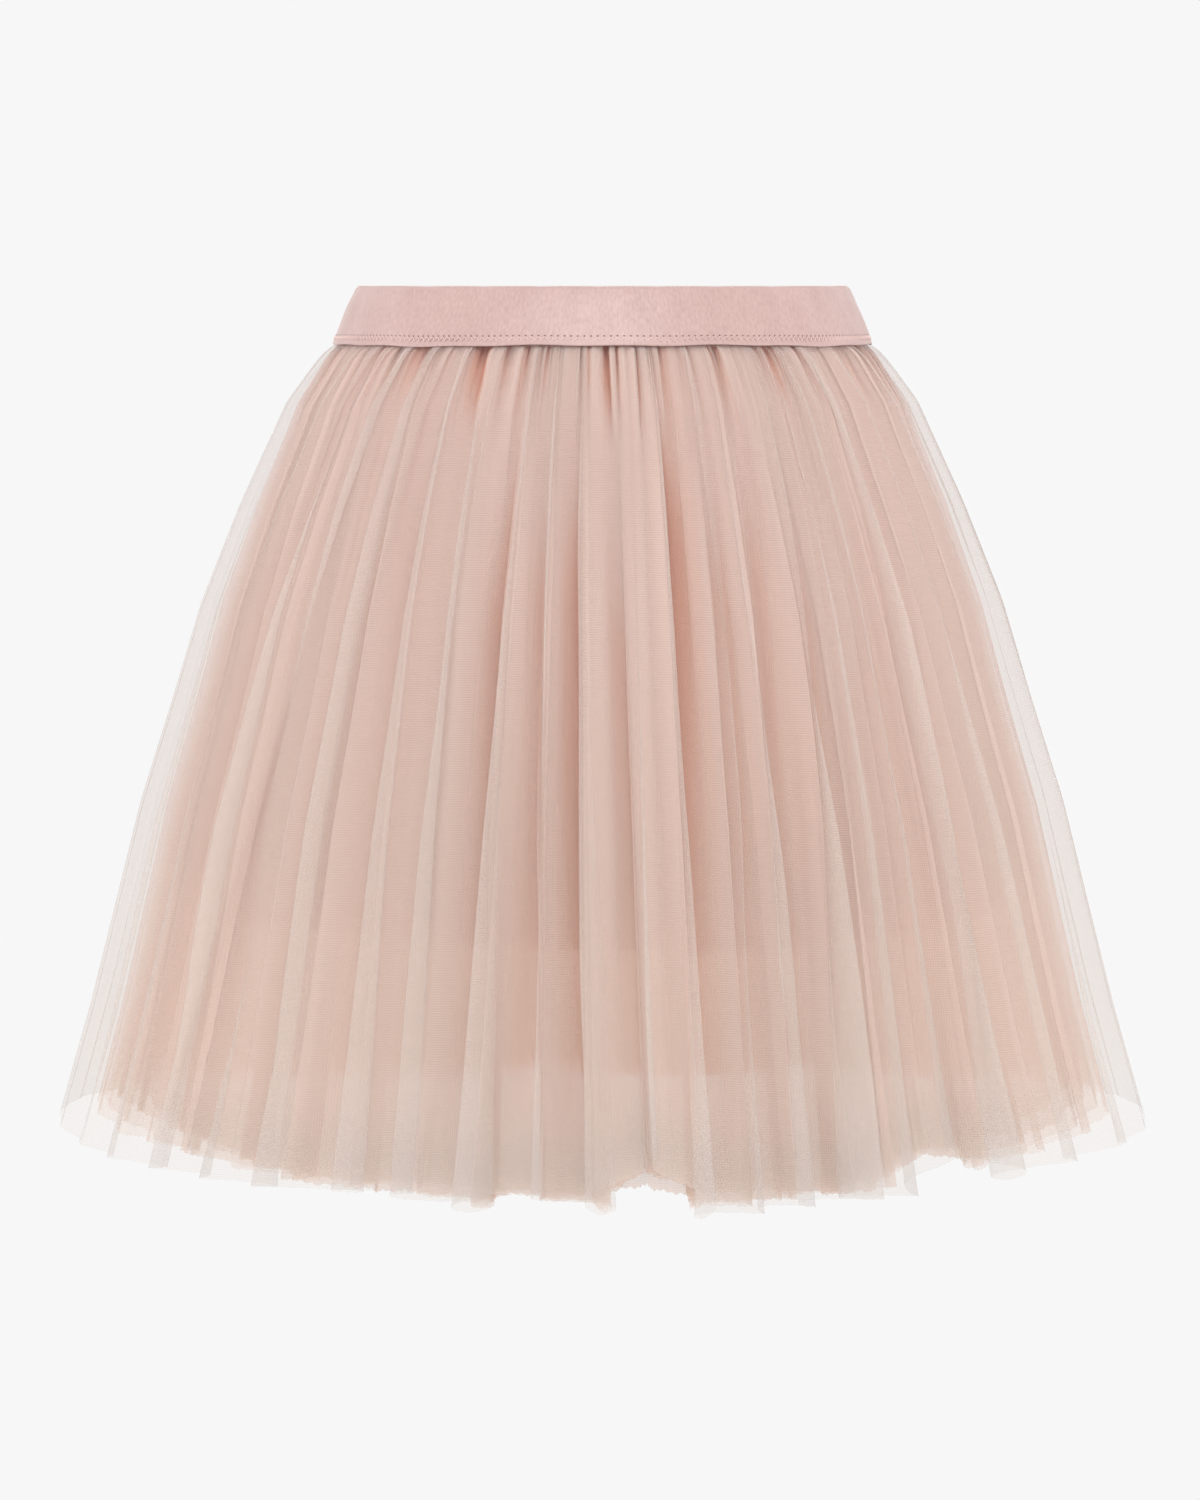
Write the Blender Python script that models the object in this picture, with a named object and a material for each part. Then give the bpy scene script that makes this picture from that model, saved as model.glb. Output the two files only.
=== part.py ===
"""A worn tulle skirt: an elastic waistband, three gathered tulle layers and a short lining.

Each layer is a thin closed wall that runs once round the body. Its rings are ellipses
that grow from the waist to the hem, with flutes that stand out along the ring's normal.
The frame: +Z up, the front towards -Y, +X to the right of someone who faces the front.
The origin is the centre of the waistband, half way up it. Metres and degrees.
"""

import math
from typing import NamedTuple

import bmesh
import bpy
import numpy as np

# Driving dimensions
BAND_HEIGHT = 0.029  # the elastic's height once it leans outwards over the hips
BAND_WALL = 0.0018
BAND_TOP_HALF_WIDTH = 0.1255
BAND_TOP_HALF_DEPTH = 0.0955
BAND_FOOT_HALF_WIDTH = 0.1377
BAND_FOOT_HALF_DEPTH = 0.1110
BAND_COLUMNS = 60

WALL = 0.0010  # one tulle layer
LINING_WALL = 0.0012
SEAM_GAP = 0.0004  # between the band's foot and what hangs from it
LAYER_GAP = 0.0005  # between two layers where they are sewn together

HEM_DROP = 0.4345  # from the band's top edge down to the longest hem
HEM_STEP = 0.009  # how much shorter each tulle layer is than the one over it
LINING_DROP = 0.3190

FLUTE_AT_WAIST = 0.06  # a flute's depth at the waist, as a share of its depth at the hem
FLUTE_GROWTH = 0.85  # the power by which it deepens from the waist to the hem
BAND_CROWDING = 1.35  # over 1, rows of faces are shorter over the hips, where the shape turns
SHARP_ANGLE = 50  # degrees; edges that turn more than this are shaded as sharp

SATIN_COLOUR = (0.70, 0.50, 0.47, 1.0)
OUTER_COLOUR = (0.80, 0.62, 0.55, 1.0)
MIDDLE_COLOUR = (0.78, 0.55, 0.47, 1.0)
INNER_COLOUR = (0.76, 0.50, 0.42, 1.0)
LINING_COLOUR = (0.66, 0.42, 0.38, 1.0)
SATIN_ROUGHNESS = 0.45
CLOTH_ROUGHNESS = 0.9


class Section(NamedTuple):
    """The outer layer's size at one height."""

    drop: float  # below the band's top edge
    half_width: float
    half_depth: float


SECTIONS = (
    Section(drop=0.0294, half_width=0.1395, half_depth=0.1130),
    Section(drop=0.0580, half_width=0.1585, half_depth=0.1310),
    Section(drop=0.1090, half_width=0.1815, half_depth=0.1530),
    Section(drop=0.1600, half_width=0.2020, half_depth=0.1715),
    Section(drop=0.2110, half_width=0.2175, half_depth=0.1865),
    Section(drop=0.2630, half_width=0.2330, half_depth=0.2010),
    Section(drop=0.3150, half_width=0.2455, half_depth=0.2130),
    Section(drop=0.3670, half_width=0.2580, half_depth=0.2245),
    Section(drop=0.4345, half_width=0.2735, half_depth=0.2385),
)


class Flute(NamedTuple):
    """One large fold: where its crest is at the hem and at the waist, and how far it stands out."""

    hem_bearing: float  # from the front, positive towards +X
    waist_bearing: float
    depth: float  # crest to valley, at the hem


FLUTES = (
    Flute(hem_bearing=-80.0, waist_bearing=-80.5, depth=0.012),
    Flute(hem_bearing=-68.0, waist_bearing=-69.5, depth=0.011),
    Flute(hem_bearing=-57.5, waist_bearing=-60.5, depth=0.010),
    Flute(hem_bearing=-49.0, waist_bearing=-51.5, depth=0.011),
    Flute(hem_bearing=-41.5, waist_bearing=-44.5, depth=0.009),
    Flute(hem_bearing=-33.0, waist_bearing=-36.5, depth=0.014),
    Flute(hem_bearing=-23.6, waist_bearing=-27.5, depth=0.012),
    Flute(hem_bearing=-14.6, waist_bearing=-17.0, depth=0.018),
    Flute(hem_bearing=-7.6, waist_bearing=-9.0, depth=0.016),
    Flute(hem_bearing=1.3, waist_bearing=-1.0, depth=0.020),
    Flute(hem_bearing=8.4, waist_bearing=9.2, depth=0.015),
    Flute(hem_bearing=16.2, waist_bearing=18.6, depth=0.013),
    Flute(hem_bearing=23.6, waist_bearing=27.8, depth=0.019),
    Flute(hem_bearing=40.3, waist_bearing=41.0, depth=0.018),
    Flute(hem_bearing=53.8, waist_bearing=51.0, depth=0.013),
    Flute(hem_bearing=67.9, waist_bearing=66.0, depth=0.012),
    Flute(hem_bearing=80.0, waist_bearing=79.5, depth=0.012),
    Flute(hem_bearing=93.0, waist_bearing=92.0, depth=0.014),
    Flute(hem_bearing=104.0, waist_bearing=103.5, depth=0.012),
    Flute(hem_bearing=116.5, waist_bearing=114.0, depth=0.017),
    Flute(hem_bearing=127.0, waist_bearing=125.5, depth=0.013),
    Flute(hem_bearing=136.5, waist_bearing=136.0, depth=0.015),
    Flute(hem_bearing=149.0, waist_bearing=146.5, depth=0.019),
    Flute(hem_bearing=159.0, waist_bearing=158.0, depth=0.013),
    Flute(hem_bearing=169.5, waist_bearing=169.0, depth=0.016),
    Flute(hem_bearing=181.0, waist_bearing=181.5, depth=0.019),
    Flute(hem_bearing=191.0, waist_bearing=192.5, depth=0.013),
    Flute(hem_bearing=202.5, waist_bearing=203.0, depth=0.018),
    Flute(hem_bearing=213.0, waist_bearing=214.5, depth=0.012),
    Flute(hem_bearing=225.5, waist_bearing=225.0, depth=0.017),
    Flute(hem_bearing=236.0, waist_bearing=236.5, depth=0.013),
    Flute(hem_bearing=246.5, waist_bearing=247.5, depth=0.015),
    Flute(hem_bearing=258.0, waist_bearing=258.5, depth=0.013),
    Flute(hem_bearing=269.0, waist_bearing=269.0, depth=0.011),
)


class Layer(NamedTuple):
    """One piece of cloth that hangs from the band."""

    name: str
    hem_drop: float
    wall: float
    waist_inset: float  # inwards from the outer layer's ring, at the waist
    hem_inset: float  # and at the level of the longest hem
    fold_share: float  # how much of the outer layer's flutes it takes
    columns_per_flute: int
    bands: int  # rows of faces from its top edge to its hem
    colour: tuple[float, float, float, float]
    alpha: float


def layers() -> tuple[Layer, ...]:
    """The four layers from the outside in, each one wall and one gap further in at the waist."""
    pitch = WALL + LAYER_GAP
    outer = Layer(
        name="tulle_outer",
        hem_drop=HEM_DROP,
        wall=WALL,
        waist_inset=0.0,
        hem_inset=0.0,
        fold_share=1.0,
        columns_per_flute=4,
        bands=5,
        colour=OUTER_COLOUR,
        alpha=0.55,
    )
    middle = Layer(
        name="tulle_middle",
        hem_drop=HEM_DROP - HEM_STEP,
        wall=WALL,
        waist_inset=pitch,
        hem_inset=0.013,
        fold_share=0.8,
        columns_per_flute=4,
        bands=4,
        colour=MIDDLE_COLOUR,
        alpha=0.7,
    )
    inner = Layer(
        name="tulle_inner",
        hem_drop=HEM_DROP - 2 * HEM_STEP,
        wall=WALL,
        waist_inset=2 * pitch,
        hem_inset=0.027,
        fold_share=0.6,
        columns_per_flute=2,
        bands=4,
        colour=INNER_COLOUR,
        alpha=0.7,
    )
    lining = Layer(
        name="lining",
        hem_drop=LINING_DROP,
        wall=LINING_WALL,
        waist_inset=3 * pitch,
        hem_inset=0.058,
        fold_share=0.12,
        columns_per_flute=2,
        bands=3,
        colour=LINING_COLOUR,
        alpha=1.0,
    )
    return outer, middle, inner, lining


def height(drop: float) -> float:
    """The height of a point that lies this far below the band's top edge."""
    return BAND_HEIGHT / 2 - drop


def flute_crests(share: float) -> np.ndarray:
    """Each flute's bearing where it has run this share of the way from the waist to the hem."""
    hem = np.array([flute.hem_bearing for flute in FLUTES])
    waist = np.array([flute.waist_bearing for flute in FLUTES])
    return waist + (hem - waist) * share


def flute_ring(share: float, columns_per_flute: int) -> tuple[np.ndarray, np.ndarray]:
    """Bearings round one ring, and how far each stands out or in, for the outer layer's flutes.

    A flute is a cosine from the valley before it, through its crest, to the valley after it.
    """
    crests = flute_crests(share)
    depths = np.array([flute.depth for flute in FLUTES])
    before = np.roll(crests, 1)
    before[0] -= 360
    valleys = (before + crests) / 2
    after = np.roll(valleys, -1)
    after[-1] += 360
    steps = np.arange(columns_per_flute) / columns_per_flute
    bearings = []
    offsets = []
    growth = FLUTE_AT_WAIST + (1 - FLUTE_AT_WAIST) * share**FLUTE_GROWTH
    for valley, crest, next_valley, depth in zip(valleys, crests, after, depths):
        for step in steps:
            if step < 0.5:
                bearing = valley + (crest - valley) * 2 * step
            else:
                bearing = crest + (next_valley - crest) * (2 * step - 1)
            bearings.append(bearing)
            offsets.append(-0.5 * depth * growth * math.cos(2 * math.pi * step))
    return np.radians(bearings), np.array(offsets)


def moved_out(ring: np.ndarray, distance: np.ndarray | float) -> np.ndarray:
    """A closed ring's points moved outwards along the ring's own normals, at a constant height."""
    ahead = np.roll(ring, -1, axis=0) - ring
    behind = ring - np.roll(ring, 1, axis=0)
    normals = np.zeros_like(ring)
    for edge in (ahead, behind):
        length = np.hypot(edge[:, 0], edge[:, 1])
        normals[:, 0] += edge[:, 1] / length
        normals[:, 1] -= edge[:, 0] / length
    size = np.hypot(normals[:, 0], normals[:, 1])
    normals /= size[:, None]
    mitre = 2 / size  # keeps the wall's thickness where the ring turns
    return ring + normals * (mitre * distance)[:, None]


def ellipse(bearings: np.ndarray, half_width: float, half_depth: float, z: float) -> np.ndarray:
    """Points on an upright ring, counter-clockwise from above, with bearing 0 at the front."""
    return np.column_stack(
        (
            half_width * np.sin(bearings),
            -half_depth * np.cos(bearings),
            np.full(len(bearings), z),
        )
    )


def layer_rings(layer: Layer) -> tuple[list[np.ndarray], list[np.ndarray]]:
    """The layer's outside and inside rings, from its top edge down to its hem."""
    drops = [section.drop for section in SECTIONS]
    top = BAND_HEIGHT + SEAM_GAP
    outside = []
    inside = []
    for band in range(layer.bands + 1):
        run = (band / layer.bands) ** BAND_CROWDING
        drop = top + (layer.hem_drop - top) * run
        share = (drop - top) / (HEM_DROP - top)
        inset = layer.waist_inset + (layer.hem_inset - layer.waist_inset) * share
        half_width = np.interp(drop, drops, [s.half_width for s in SECTIONS]) - inset
        half_depth = np.interp(drop, drops, [s.half_depth for s in SECTIONS]) - inset
        bearings, offsets = flute_ring(share, layer.columns_per_flute)
        plain = ellipse(bearings, half_width, half_depth, height(drop))
        ring = moved_out(plain, offsets * layer.fold_share)
        outside.append(ring)
        inside.append(moved_out(ring, np.full(len(ring), -layer.wall)))
    return outside, inside


def band_rings() -> tuple[list[np.ndarray], list[np.ndarray]]:
    """The waistband's outside and inside rings: a cone that leans out over the hips."""
    bearings = np.radians(np.arange(BAND_COLUMNS) * 360 / BAND_COLUMNS)
    outside = []
    inside = []
    for share in (0.0, 0.5, 1.0):
        half_width = BAND_TOP_HALF_WIDTH + (BAND_FOOT_HALF_WIDTH - BAND_TOP_HALF_WIDTH) * share
        half_depth = BAND_TOP_HALF_DEPTH + (BAND_FOOT_HALF_DEPTH - BAND_TOP_HALF_DEPTH) * share
        ring = ellipse(bearings, half_width, half_depth, height(BAND_HEIGHT * share))
        outside.append(ring)
        inside.append(moved_out(ring, np.full(len(ring), -BAND_WALL)))
    return outside, inside


def cloth_material(name: str, colour: tuple, alpha: float, roughness: float):
    """A plain matt cloth."""
    material = bpy.data.materials.new(name)
    material.use_nodes = True
    shader = material.node_tree.nodes["Principled BSDF"]
    shader.inputs["Base Color"].default_value = colour
    shader.inputs["Roughness"].default_value = roughness
    shader.inputs["Metallic"].default_value = 0.0
    shader.inputs["Alpha"].default_value = alpha
    material.diffuse_color = colour
    return material


def wall_object(name: str, outside: list, inside: list, material):
    """A closed tube wall: the outside rings, the inside rings, and a rim at each end."""
    mesh = bpy.data.meshes.new(name)
    build = bmesh.new()
    rings = [[build.verts.new(point) for point in ring] for ring in outside + inside[::-1]]
    count = len(rings[0])
    for upper, lower in zip(rings, rings[1:] + rings[:1]):
        for i in range(count):
            j = (i + 1) % count
            build.faces.new((upper[i], lower[i], lower[j], upper[j]))
    bmesh.ops.recalc_face_normals(build, faces=build.faces)
    build.to_mesh(mesh)
    build.free()
    mesh.shade_smooth()
    mesh.set_sharp_from_angle(angle=math.radians(SHARP_ANGLE))
    mesh.materials.append(material)
    item = bpy.data.objects.new(name, mesh)
    bpy.context.scene.collection.objects.link(item)
    return item


def main() -> None:
    """Clears the scene, then builds the band and the four layers."""
    for item in list(bpy.data.objects):
        bpy.data.objects.remove(item)
    elastic = cloth_material("elastic_satin", SATIN_COLOUR, 1.0, SATIN_ROUGHNESS)
    wall_object("waistband", *band_rings(), elastic)
    for layer in layers():
        cloth = cloth_material(layer.name + "_cloth", layer.colour, layer.alpha, CLOTH_ROUGHNESS)
        wall_object(layer.name, *layer_rings(layer), cloth)


main()
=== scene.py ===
"""The looks of a worn tulle skirt: sheer gathered layers, a short lining and a satin elastic band.

Metres, +Z up, the front towards -Y, and the origin at the centre of the waistband.
"""

import logging
import math
from collections.abc import Mapping, Sequence
from dataclasses import dataclass
from enum import Enum
from typing import Any, ClassVar

import bmesh
import bpy
import numpy as np
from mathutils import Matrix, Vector


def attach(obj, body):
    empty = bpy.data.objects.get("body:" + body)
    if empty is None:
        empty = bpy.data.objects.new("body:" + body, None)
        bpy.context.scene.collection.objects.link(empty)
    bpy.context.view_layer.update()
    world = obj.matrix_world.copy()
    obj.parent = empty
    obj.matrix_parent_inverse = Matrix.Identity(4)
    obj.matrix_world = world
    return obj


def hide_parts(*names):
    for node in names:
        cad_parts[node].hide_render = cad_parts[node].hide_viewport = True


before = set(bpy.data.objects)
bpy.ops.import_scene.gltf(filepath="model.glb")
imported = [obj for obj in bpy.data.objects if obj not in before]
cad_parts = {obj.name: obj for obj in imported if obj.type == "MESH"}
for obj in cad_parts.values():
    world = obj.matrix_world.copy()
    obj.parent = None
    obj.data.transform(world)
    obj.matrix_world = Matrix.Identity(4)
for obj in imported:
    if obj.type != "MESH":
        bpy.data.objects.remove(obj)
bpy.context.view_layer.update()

LOG = logging.getLogger("skirt")
BODY = "root"

TAU = 2 * math.pi

Number = int | float
Grid = np.ndarray
Colour = tuple[float, float, float, float]

# The names under which values are stored on a mesh and read by its material.
CUT_MAP = "cut"
CREASE = "crease"
DROP = "drop"
ABOVE_HEM = "above_hem"
FULLNESS = "fullness"
NEEDLE = "needle"


# ---------------------------------------------------------------- shader maths


class Value:
    """A socket of a shader tree that takes part in sums, so shader maths reads as arithmetic."""

    def __init__(self, tree: "ShaderTree", socket: bpy.types.NodeSocket) -> None:
        """Wraps a socket.

        Args:
            tree: The tree that the socket's node is in.
            socket: An output of one of its nodes.
        """
        self.tree = tree
        self.socket = socket

    def _maths(self, operation: str, *operands: "Value | Number", clamp: bool = False) -> "Value":
        """Adds one Math node.

        Args:
            operation: The node's operation.
            operands: What goes into its sockets, in order.
            clamp: Whether the result is kept between 0 and 1.

        Returns:
            The node's result.
        """
        settings = {"operation": operation, "use_clamp": clamp}
        node = self.tree.node("ShaderNodeMath", settings, dict(enumerate(operands)))
        return Value(self.tree, node.outputs[0])

    def __add__(self, other: "Value | Number") -> "Value":
        """Gives the sum."""
        return self._maths("ADD", self, other)

    __radd__ = __add__

    def __sub__(self, other: "Value | Number") -> "Value":
        """Gives the difference."""
        return self._maths("SUBTRACT", self, other)

    def __rsub__(self, other: Number) -> "Value":
        """Gives the difference from a plain number."""
        return self._maths("SUBTRACT", other, self)

    def __mul__(self, other: "Value | Number") -> "Value":
        """Gives the product."""
        return self._maths("MULTIPLY", self, other)

    __rmul__ = __mul__

    def __truediv__(self, other: "Value | Number") -> "Value":
        """Gives the quotient."""
        return self._maths("DIVIDE", self, other)

    def sine(self) -> "Value":
        """Gives the sine."""
        return self._maths("SINE", self)

    def clamped(self) -> "Value":
        """Keeps the value between 0 and 1."""
        return self._maths("ADD", self, 0.0, clamp=True)

    def ramp(self, low: Number, high: Number) -> "Value":
        """Rises smoothly from 0 at low to 1 at high, or falls where low is above high.

        Args:
            low: Where the result is 0.
            high: Where the result is 1.

        Returns:
            The eased share.
        """
        settings = {"interpolation_type": "SMOOTHSTEP"}
        wires = {"Value": self, "From Min": low, "From Max": high}
        return Value(self.tree, self.tree.node("ShaderNodeMapRange", settings, wires).outputs[0])


class ShaderTree:
    """A material's nodes, with one way to add a node."""

    def __init__(self, name: str) -> None:
        """Starts a material with a Principled shader.

        Args:
            name: The material's name.
        """
        self.material = bpy.data.materials.new(name)
        self.material.use_nodes = True
        self.nodes = self.material.node_tree.nodes
        self.links = self.material.node_tree.links
        self.shader = self.nodes["Principled BSDF"]

    def node(
        self,
        kind: str,
        settings: Mapping[str, Any] | None = None,
        wires: Mapping[str | int, Any] | None = None,
    ) -> bpy.types.Node:
        """Adds a node.

        Args:
            kind: The node's type.
            settings: Properties to set on it first.
            wires: What its sockets hold: a Value to link, or a plain value.

        Returns:
            The new node.
        """
        node = self.nodes.new(kind)
        for name, value in (settings or {}).items():
            setattr(node, name, value)
        self.fill(node, wires or {})
        return node

    def fill(self, node: bpy.types.Node, wires: Mapping[str | int, Any]) -> None:
        """Links or sets a node's sockets.

        Args:
            node: The node.
            wires: What its sockets hold: a Value to link, or a plain value.
        """
        for key, value in wires.items():
            if isinstance(value, Value):
                self.links.new(value.socket, node.inputs[key])
            else:
                node.inputs[key].default_value = value

    def finish(self, wires: Mapping[str, Any]) -> bpy.types.Material:
        """Fills the Principled shader's sockets and gives the material."""
        self.fill(self.shader, wires)
        return self.material

    def painted(self, name: str) -> Value:
        """Reads a value stored on the mesh's points."""
        node = self.node("ShaderNodeAttribute", {"attribute_name": name})
        return Value(self, node.outputs["Fac"])

    def cut_place(self) -> tuple[Value, Value]:
        """Reads the place on the cloth as cut.

        Returns:
            How far across the cloth and how far down it, in metres.
        """
        uv = self.node("ShaderNodeUVMap", {"uv_map": CUT_MAP})
        parts = self.node("ShaderNodeSeparateXYZ", None, {0: Value(self, uv.outputs[0])})
        return Value(self, parts.outputs[0]), Value(self, parts.outputs[1])

    def noise(
        self, scale: Number, detail: Number = 2.0, stretch: Sequence[Number] = (1, 1, 1)
    ) -> Value:
        """Gives a soft uneven pattern fixed to the object.

        Args:
            scale: How many swells there are to a metre.
            detail: How many finer octaves are added.
            stretch: The pattern's squeeze along X, Y and Z.

        Returns:
            The pattern, near 0.5 on average.
        """
        place = Value(self, self.node("ShaderNodeTexCoord").outputs["Object"])
        settings = {"operation": "MULTIPLY"}
        mapped = self.node("ShaderNodeVectorMath", settings, {0: place, 1: stretch})
        wires = {"Vector": Value(self, mapped.outputs[0]), "Scale": scale, "Detail": detail}
        return Value(self, self.node("ShaderNodeTexNoise", None, wires).outputs[0])

    def streaks(self, across: Value, down: Value, width: Number) -> Value:
        """Gives long uneven streaks that run down the cloth.

        Args:
            across: The place across the cloth as cut.
            down: The place down it.
            width: About how wide one streak is, in metres.

        Returns:
            The streaks, near 0.5 on average.
        """
        sides = {0: across / width, 1: down / (60 * width)}
        place = self.node("ShaderNodeCombineXYZ", None, sides)
        wires = {"Vector": Value(self, place.outputs[0]), "Scale": 1.0, "Detail": 2.0}
        return Value(self, self.node("ShaderNodeTexNoise", None, wires).outputs[0])

    def blend(self, share: Value | Number, first: Any, second: Any) -> Value:
        """Mixes two colours.

        Args:
            share: How much of the second there is.
            first: A colour.
            second: A colour.

        Returns:
            The mixed colour.
        """
        node = self.node("ShaderNodeMix", {"data_type": "RGBA"}, {0: share, 6: first, 7: second})
        return Value(self, node.outputs[2])

    def bump(self, height: Value, distance: Number, strength: Number = 1.0) -> Value:
        """Turns a height into a normal."""
        wires = {"Strength": strength, "Distance": distance, "Height": height}
        return Value(self, self.node("ShaderNodeBump", None, wires).outputs[0])


def srgb(red: Number, green: Number, blue: Number) -> Colour:
    """Turns a screen colour from 0 to 255 into the linear colour that shaders take.

    Args:
        red: The red share.
        green: The green share.
        blue: The blue share.

    Returns:
        The linear colour, fully opaque.
    """
    linear = [
        (c / 255 / 12.92) if c <= 10 else ((c / 255 + 0.055) / 1.055) ** 2.4
        for c in (red, green, blue)
    ]
    return (*linear, 1.0)


# ---------------------------------------------------------------- finishes


@dataclass(frozen=True)
class TulleFinish:
    """Soft nylon net: matt, sheer, with a fine hexagonal mesh.

    Args:
        name: The material's name.
        upper: Its colour near the waist, where the gathers crowd.
        lower: Its colour near the hem, a little deeper: partly the cloth's tone, partly painted
            shade.
        crease: Its colour along a pressed fold, paler: a painted highlight.
        cover: The share of light that one ply stops.
        gap_shade: Its colour where it dips in between folds and the cloth is thin: deeper and
            darker, painted shade.
        edge: Its colour by the cut hem, where little cloth lies behind it: darker and greyer,
            painted shade of the dim inside seen through.
        pucker_shade: Painted shade right under the band, in the small dents of the gathers.
        crease_cover: How much more it stops along a fold.
        fray: How far up the cut edge is ragged, in metres.
        mesh: The net's pitch, in metres.

    SLANT is the rise of the net's threads, for meshes with six even sides.
    """

    name: str
    upper: Colour
    lower: Colour
    crease: Colour
    gap_shade: Colour
    edge: Colour
    pucker_shade: Colour
    cover: float
    crease_cover: float
    fray: float
    mesh: float = 0.0013

    SLANT: ClassVar[float] = 0.577

    def material(self) -> bpy.types.Material:
        """Builds the material.

        Returns:
            The material.
        """
        tree = ShaderTree(self.name)
        across, down = tree.cut_place()
        drop = tree.painted(DROP)
        crease = tree.painted(CREASE)
        turns = TAU / self.mesh
        rising = ((across + down * self.SLANT) * turns).sine()
        falling = ((across - down * self.SLANT) * turns).sine()
        net = rising * falling
        ragged = ((across * 610).sine() + (across * 1730).sine()) * 0.25 + 0.5
        above_hem = tree.painted(ABOVE_HEM)
        edge = (above_hem / self.fray - 0.7 * ragged).ramp(0.0, 0.3)
        # Deeper towards the hem: partly the cloth's tone, partly painted shade.
        ground = tree.blend(drop.ramp(0.0, 0.4), self.upper, self.lower)
        # Painted shade: darker and greyer by the cut hem, where the dim inside shows through.
        ground = tree.blend(above_hem.ramp(0.045, 0.004), ground, self.edge)
        fullness = tree.painted(FULLNESS)
        # Painted shade: a deeper, darker colour where the cloth is thin between folds, darker
        # still right under the band.
        gap_shade = tree.blend(drop.ramp(0.042, 0.031), self.gap_shade, self.pucker_shade)
        # Painted highlight: a paler colour along the creases.
        colour = tree.blend(fullness.ramp(0.8, 0.3), tree.blend(crease, ground, self.crease), gap_shade)
        cover = self.cover * fullness * (1 + 0.2 * net) + self.crease_cover * crease
        return tree.finish(
            {
                "Base Color": colour,
                "Roughness": 0.9,
                "Specular IOR Level": 0.15,
                "Sheen Weight": 0.2,
                "Sheen Roughness": 0.45,
                "Alpha": (cover * edge).clamped(),
                "Normal": tree.bump(net, 0.00012, 0.5),
            }
        )


@dataclass(frozen=True)
class LiningFinish:
    """A plain matt lining cloth with a faint grain.

    Args:
        name: The material's name.
        colour: Its colour.
        deep: Its colour in uneven patches.
        grain: The weave's pitch across and down the cloth, in metres.
    """

    name: str
    colour: Colour
    deep: Colour
    grain: tuple[float, float] = (0.0009, 0.0012)

    def material(self) -> bpy.types.Material:
        """Builds the material.

        Returns:
            The material.
        """
        tree = ShaderTree(self.name)
        across, down = tree.cut_place()
        grain = (across * (TAU / self.grain[0])).sine() * (down * (TAU / self.grain[1])).sine()
        slub = tree.noise(60, 3.0, (1, 1, 0.2))
        return tree.finish(
            {
                "Base Color": tree.blend(slub.ramp(0.3, 0.7), self.colour, self.deep),
                "Roughness": (0.72 + 0.1 * slub).clamped(),
                "Specular IOR Level": 0.25,
                "Sheen Weight": 0.2,
                "Normal": tree.bump(grain, 0.0001, 0.4),
            }
        )


@dataclass(frozen=True)
class ElasticFinish:
    """Satin-faced elastic: fine upright ribs, a soft shine, and painted shade that greys the
    grooves.

    Args:
        name: The material's name.
        face: The satin's colour.
        groove: The colour of the streaks between ribs, greyer: painted shade in the grooves.
        hole: The colour in a needle hole: painted shade.
        rib: The ribs' pitch, in metres.
        shine: The roughness of the satin.
        stitch: The zigzag's pitch on the cloth as cut.
    """

    name: str
    face: Colour
    groove: Colour
    hole: Colour
    rib: float = 0.0011
    shine: float = 0.28
    stitch: float = 0.70 / 262

    def material(self) -> bpy.types.Material:
        """Builds the material.

        Returns:
            The material.
        """
        tree = ShaderTree(self.name)
        across, down = tree.cut_place()
        grain = tree.streaks(across, down * 20, self.rib)
        slub = tree.noise(90, 2.0, (1, 1, 0.35))
        lines = (0.5 + 1.1 * (grain - 0.5) + 0.5 * (slub - 0.5)).clamped()
        rise = tree.painted(NEEDLE)
        swing = rise * (across * (TAU / self.stitch)).sine()
        # The needle holes: a dent in the bump, and painted shade in the colour.
        hole = swing.ramp(0.55, 0.9) * rise.ramp(1.5, 1.2) * rise.ramp(0.3, 0.6)
        # Painted shade: greyer streaks stand in for the shade in the grooves between ribs.
        satin = tree.blend(lines, self.face, self.groove)
        return tree.finish(
            {
                "Base Color": tree.blend(hole, satin, self.hole),
                "Roughness": (self.shine + 0.25 * slub).clamped(),
                "Specular IOR Level": 0.9,
                "Sheen Weight": 0.1,
                "Normal": tree.bump(grain + slub - hole, 0.0003, 0.8),
            }
        )


@dataclass(frozen=True)
class ThreadFinish:
    """Sewing thread with a faint twist.

    Args:
        name: The material's name.
        colour: Its colour.
        lift: How much paler its twist is.
    """

    name: str
    colour: Colour
    lift: float = 1.15

    def material(self) -> bpy.types.Material:
        """Builds the material.

        Returns:
            The material.
        """
        tree = ShaderTree(self.name)
        twist = tree.noise(2500, 1.0)
        light = tuple(min(1.0, c * self.lift) for c in self.colour[:3]) + (1.0,)
        return tree.finish(
            {
                "Base Color": tree.blend(twist, self.colour, light),
                "Roughness": 0.6,
                "Sheen Weight": 0.2,
            }
        )


@dataclass(frozen=True)
class FloorFinish:
    """A pale matt floor that fades out towards its rim.

    Args:
        name: The material's name.
        colour: Its colour.
        full: How far from its middle it starts to fade, in metres.
        rim: And where nothing of it is left.
    """

    name: str
    colour: Colour
    full: float
    rim: float

    def material(self) -> bpy.types.Material:
        """Builds the material.

        Returns:
            The material.
        """
        tree = ShaderTree(self.name)
        place = Value(tree, tree.node("ShaderNodeTexCoord").outputs["Object"])
        reach = tree.node("ShaderNodeVectorMath", {"operation": "LENGTH"}, {0: place})
        speck = tree.noise(40, 2.0)
        return tree.finish(
            {
                "Base Color": self.colour,
                "Roughness": (0.85 + 0.1 * speck).clamped(),
                "Specular IOR Level": 0.1,
                "Alpha": Value(tree, reach.outputs["Value"]).ramp(self.rim, self.full),
            }
        )


# Painted shade for the small dents in the tulle right under the band.
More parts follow.
